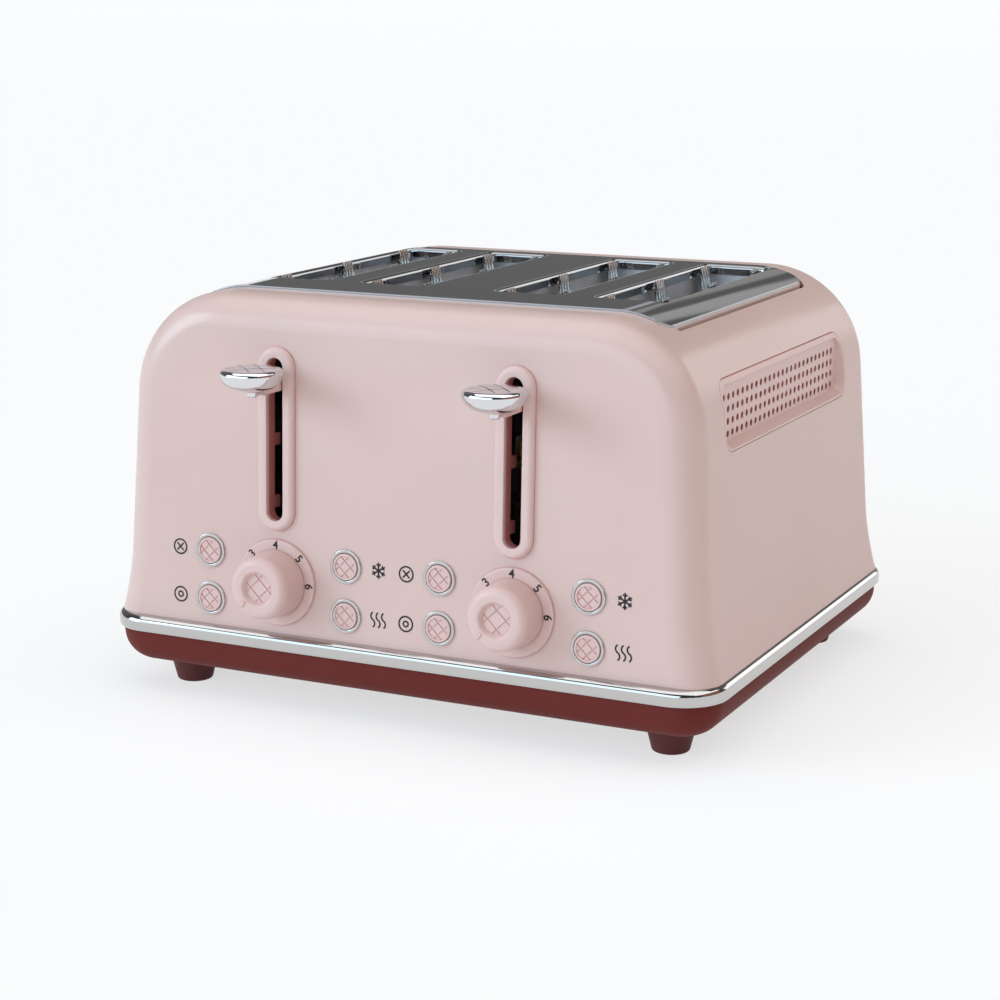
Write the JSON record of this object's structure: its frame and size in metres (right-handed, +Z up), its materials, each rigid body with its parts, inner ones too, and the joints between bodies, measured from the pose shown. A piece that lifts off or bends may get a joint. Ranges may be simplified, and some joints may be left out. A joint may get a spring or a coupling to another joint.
{
  "type": "pop-up toaster",
  "caption": "Wide pop-up toaster with arched pink housing, steel deck with long bread slots, chrome levers, browning dials, push buttons, side vents and rear crumb trays.",
  "frame": {"origin": "on the table under the middle of the overall box, levers included", "axes": "+X to the right seen from the front, +Y to the back, +Z up"},
  "size_m": [0.326, 0.3008, 0.2026],
  "materials": {
    "pink_moulding": "satin lacquer",
    "burgundy_moulding": "satin moulded",
    "burgundy_rubber": "matte",
    "chrome": "polished plating",
    "chrome_wire": "plated wire",
    "brushed_steel": "brushed front to back",
    "bright_steel": "bright rolled sheet",
    "zinc_steel": "zinc plated",
    "spring_steel": "oiled wire",
    "mica": "mica sheet with ribbon",
    "circuit_board": "solder mask",
    "black_plastic": "moulded"
  },
  "bodies": {
    "housing": {"body_shell": "pink_moulding", "top_deck": "brushed_steel", "slot_liners": "bright_steel", "chrome_band": "chrome", "base_pan": "burgundy_moulding", "feet": "burgundy_rubber", "base_screws": "zinc_steel", "lever_bezel_left": "pink_moulding", "lever_bezel_right": "pink_moulding", "dial_plates": "pink_moulding", "button_rings": "chrome", "vent_grille_left": "pink_moulding", "vent_grille_right": "pink_moulding", "chassis_front": "bright_steel", "chassis_rear": "bright_steel", "heat_shields": "bright_steel", "heater_left": "mica", "heater_right": "mica", "guide_rods": "zinc_steel", "return_spring_left": "spring_steel", "return_spring_right": "spring_steel", "latch_magnets": "zinc_steel", "control_board_left": "circuit_board", "control_board_right": "circuit_board", "browning_pots": "black_plastic", "tact_switches": "black_plastic", "cord_inlet": "black_plastic"},
    "lift_left": {"lever_cap_left": "chrome", "lever_arm_left": "pink_moulding", "lever_screw_left": "chrome", "carriage_left": "zinc_steel", "bread_racks_left": "bright_steel"},
    "lift_right": {"lever_cap_right": "chrome", "lever_arm_right": "pink_moulding", "lever_screw_right": "chrome", "carriage_right": "zinc_steel", "bread_racks_right": "bright_steel"},
    "guide_1_left": {"bread_guide_1_left": "chrome_wire"},
    "guide_1_right": {"bread_guide_1_right": "chrome_wire"},
    "guide_2_left": {"bread_guide_2_left": "chrome_wire"},
    "guide_2_right": {"bread_guide_2_right": "chrome_wire"},
    "guide_3_left": {"bread_guide_3_left": "chrome_wire"},
    "guide_3_right": {"bread_guide_3_right": "chrome_wire"},
    "guide_4_left": {"bread_guide_4_left": "chrome_wire"},
    "guide_4_right": {"bread_guide_4_right": "chrome_wire"},
    "knob_left": {"browning_knob_left": "pink_moulding"},
    "knob_right": {"browning_knob_right": "pink_moulding"},
    "button_left_outer_upper": {"button_left_outer_upper": "pink_moulding"},
    "button_left_outer_lower": {"button_left_outer_lower": "pink_moulding"},
    "button_left_inner_upper": {"button_left_inner_upper": "pink_moulding"},
    "button_left_inner_lower": {"button_left_inner_lower": "pink_moulding"},
    "button_right_outer_upper": {"button_right_outer_upper": "pink_moulding"},
    "button_right_outer_lower": {"button_right_outer_lower": "pink_moulding"},
    "button_right_inner_upper": {"button_right_inner_upper": "pink_moulding"},
    "button_right_inner_lower": {"button_right_inner_lower": "pink_moulding"},
    "tray_left": {"crumb_tray_left": "zinc_steel", "tray_handle_left": "burgundy_moulding"},
    "tray_right": {"crumb_tray_right": "zinc_steel", "tray_handle_right": "burgundy_moulding"}
  },
  "joints": [
    {"name": "lift_left_slide", "type": "slide", "parent": "housing", "child": "lift_left", "axis": [0, 0, -1], "range_m": [-0.008, 0.058], "stiffness_N_per_m": 90, "springref_m": -0.022, "deforming": ["return_spring_left"]},
    {"name": "lift_right_slide", "type": "slide", "parent": "housing", "child": "lift_right", "axis": [0, 0, -1], "range_m": [-0.008, 0.058], "stiffness_N_per_m": 90, "springref_m": -0.022, "deforming": ["return_spring_right"]},
    {"name": "guide_1_left_tilt", "type": "hinge", "parent": "housing", "child": "guide_1_left", "pos_m": [-0.10025, 0.02615, 0.046], "axis": [0, 1, 0], "range_deg": [-0.46, 3.05]},
    {"name": "guide_1_right_tilt", "type": "hinge", "parent": "housing", "child": "guide_1_right", "pos_m": [-0.07825, 0.02615, 0.046], "axis": [0, 1, 0], "range_deg": [-3.05, 0.46]},
    {"name": "guide_2_left_tilt", "type": "hinge", "parent": "housing", "child": "guide_2_left", "pos_m": [-0.04775, 0.02615, 0.046], "axis": [0, 1, 0], "range_deg": [-0.46, 3.05]},
    {"name": "guide_2_right_tilt", "type": "hinge", "parent": "housing", "child": "guide_2_right", "pos_m": [-0.02575, 0.02615, 0.046], "axis": [0, 1, 0], "range_deg": [-3.05, 0.46]},
    {"name": "guide_3_left_tilt", "type": "hinge", "parent": "housing", "child": "guide_3_left", "pos_m": [0.02575, 0.02615, 0.046], "axis": [0, 1, 0], "range_deg": [-0.46, 3.05]},
    {"name": "guide_3_right_tilt", "type": "hinge", "parent": "housing", "child": "guide_3_right", "pos_m": [0.04775, 0.02615, 0.046], "axis": [0, 1, 0], "range_deg": [-3.05, 0.46]},
    {"name": "guide_4_left_tilt", "type": "hinge", "parent": "housing", "child": "guide_4_left", "pos_m": [0.07825, 0.02615, 0.046], "axis": [0, 1, 0], "range_deg": [-0.46, 3.05]},
    {"name": "guide_4_right_tilt", "type": "hinge", "parent": "housing", "child": "guide_4_right", "pos_m": [0.10025, 0.02615, 0.046], "axis": [0, 1, 0], "range_deg": [-3.05, 0.46]},
    {"name": "knob_left_turn", "type": "hinge", "parent": "housing", "child": "knob_left", "pos_m": [-0.063, -0.11648, 0.06468], "axis": [0, 0.9993, -0.0382], "range_deg": [0, 225]},
    {"name": "knob_right_turn", "type": "hinge", "parent": "housing", "child": "knob_right", "pos_m": [0.063, -0.11648, 0.06468], "axis": [0, 0.9993, -0.0382], "range_deg": [0, 225]},
    {"name": "button_left_outer_upper_press", "type": "slide", "parent": "housing", "child": "button_left_outer_upper", "axis": [0, 0.9993, -0.0382], "range_m": [0, 0.002], "stiffness_N_per_m": 400, "springref_m": -0.001},
    {"name": "button_left_outer_lower_press", "type": "slide", "parent": "housing", "child": "button_left_outer_lower", "axis": [0, 0.9993, -0.0382], "range_m": [0, 0.002], "stiffness_N_per_m": 400, "springref_m": -0.001},
    {"name": "button_left_inner_upper_press", "type": "slide", "parent": "housing", "child": "button_left_inner_upper", "axis": [0, 0.9993, -0.0382], "range_m": [0, 0.002], "stiffness_N_per_m": 400, "springref_m": -0.001},
    {"name": "button_left_inner_lower_press", "type": "slide", "parent": "housing", "child": "button_left_inner_lower", "axis": [0, 0.9993, -0.0382], "range_m": [0, 0.002], "stiffness_N_per_m": 400, "springref_m": -0.001},
    {"name": "button_right_outer_upper_press", "type": "slide", "parent": "housing", "child": "button_right_outer_upper", "axis": [0, 0.9993, -0.0382], "range_m": [0, 0.002], "stiffness_N_per_m": 400, "springref_m": -0.001},
    {"name": "button_right_outer_lower_press", "type": "slide", "parent": "housing", "child": "button_right_outer_lower", "axis": [0, 0.9993, -0.0382], "range_m": [0, 0.002], "stiffness_N_per_m": 400, "springref_m": -0.001},
    {"name": "button_right_inner_upper_press", "type": "slide", "parent": "housing", "child": "button_right_inner_upper", "axis": [0, 0.9993, -0.0382], "range_m": [0, 0.002], "stiffness_N_per_m": 400, "springref_m": -0.001},
    {"name": "button_right_inner_lower_press", "type": "slide", "parent": "housing", "child": "button_right_inner_lower", "axis": [0, 0.9993, -0.0382], "range_m": [0, 0.002], "stiffness_N_per_m": 400, "springref_m": -0.001},
    {"name": "tray_left_slide", "type": "slide", "parent": "housing", "child": "tray_left", "axis": [0, 1, 0], "range_m": [0, 0.2]},
    {"name": "tray_right_slide", "type": "slide", "parent": "housing", "child": "tray_right", "axis": [0, 1, 0], "range_m": [0, 0.2]}
  ],
  "couplings": [
    {"joint": "guide_1_left_tilt", "follows": "lift_left_slide", "rad_per_m": 0.9028},
    {"joint": "guide_1_right_tilt", "follows": "lift_left_slide", "rad_per_m": -0.9028},
    {"joint": "guide_2_left_tilt", "follows": "lift_left_slide", "rad_per_m": 0.9028},
    {"joint": "guide_2_right_tilt", "follows": "lift_left_slide", "rad_per_m": -0.9028},
    {"joint": "guide_3_left_tilt", "follows": "lift_right_slide", "rad_per_m": 0.9028},
    {"joint": "guide_3_right_tilt", "follows": "lift_right_slide", "rad_per_m": -0.9028},
    {"joint": "guide_4_left_tilt", "follows": "lift_right_slide", "rad_per_m": 0.9028},
    {"joint": "guide_4_right_tilt", "follows": "lift_right_slide", "rad_per_m": -0.9028}
  ]
}
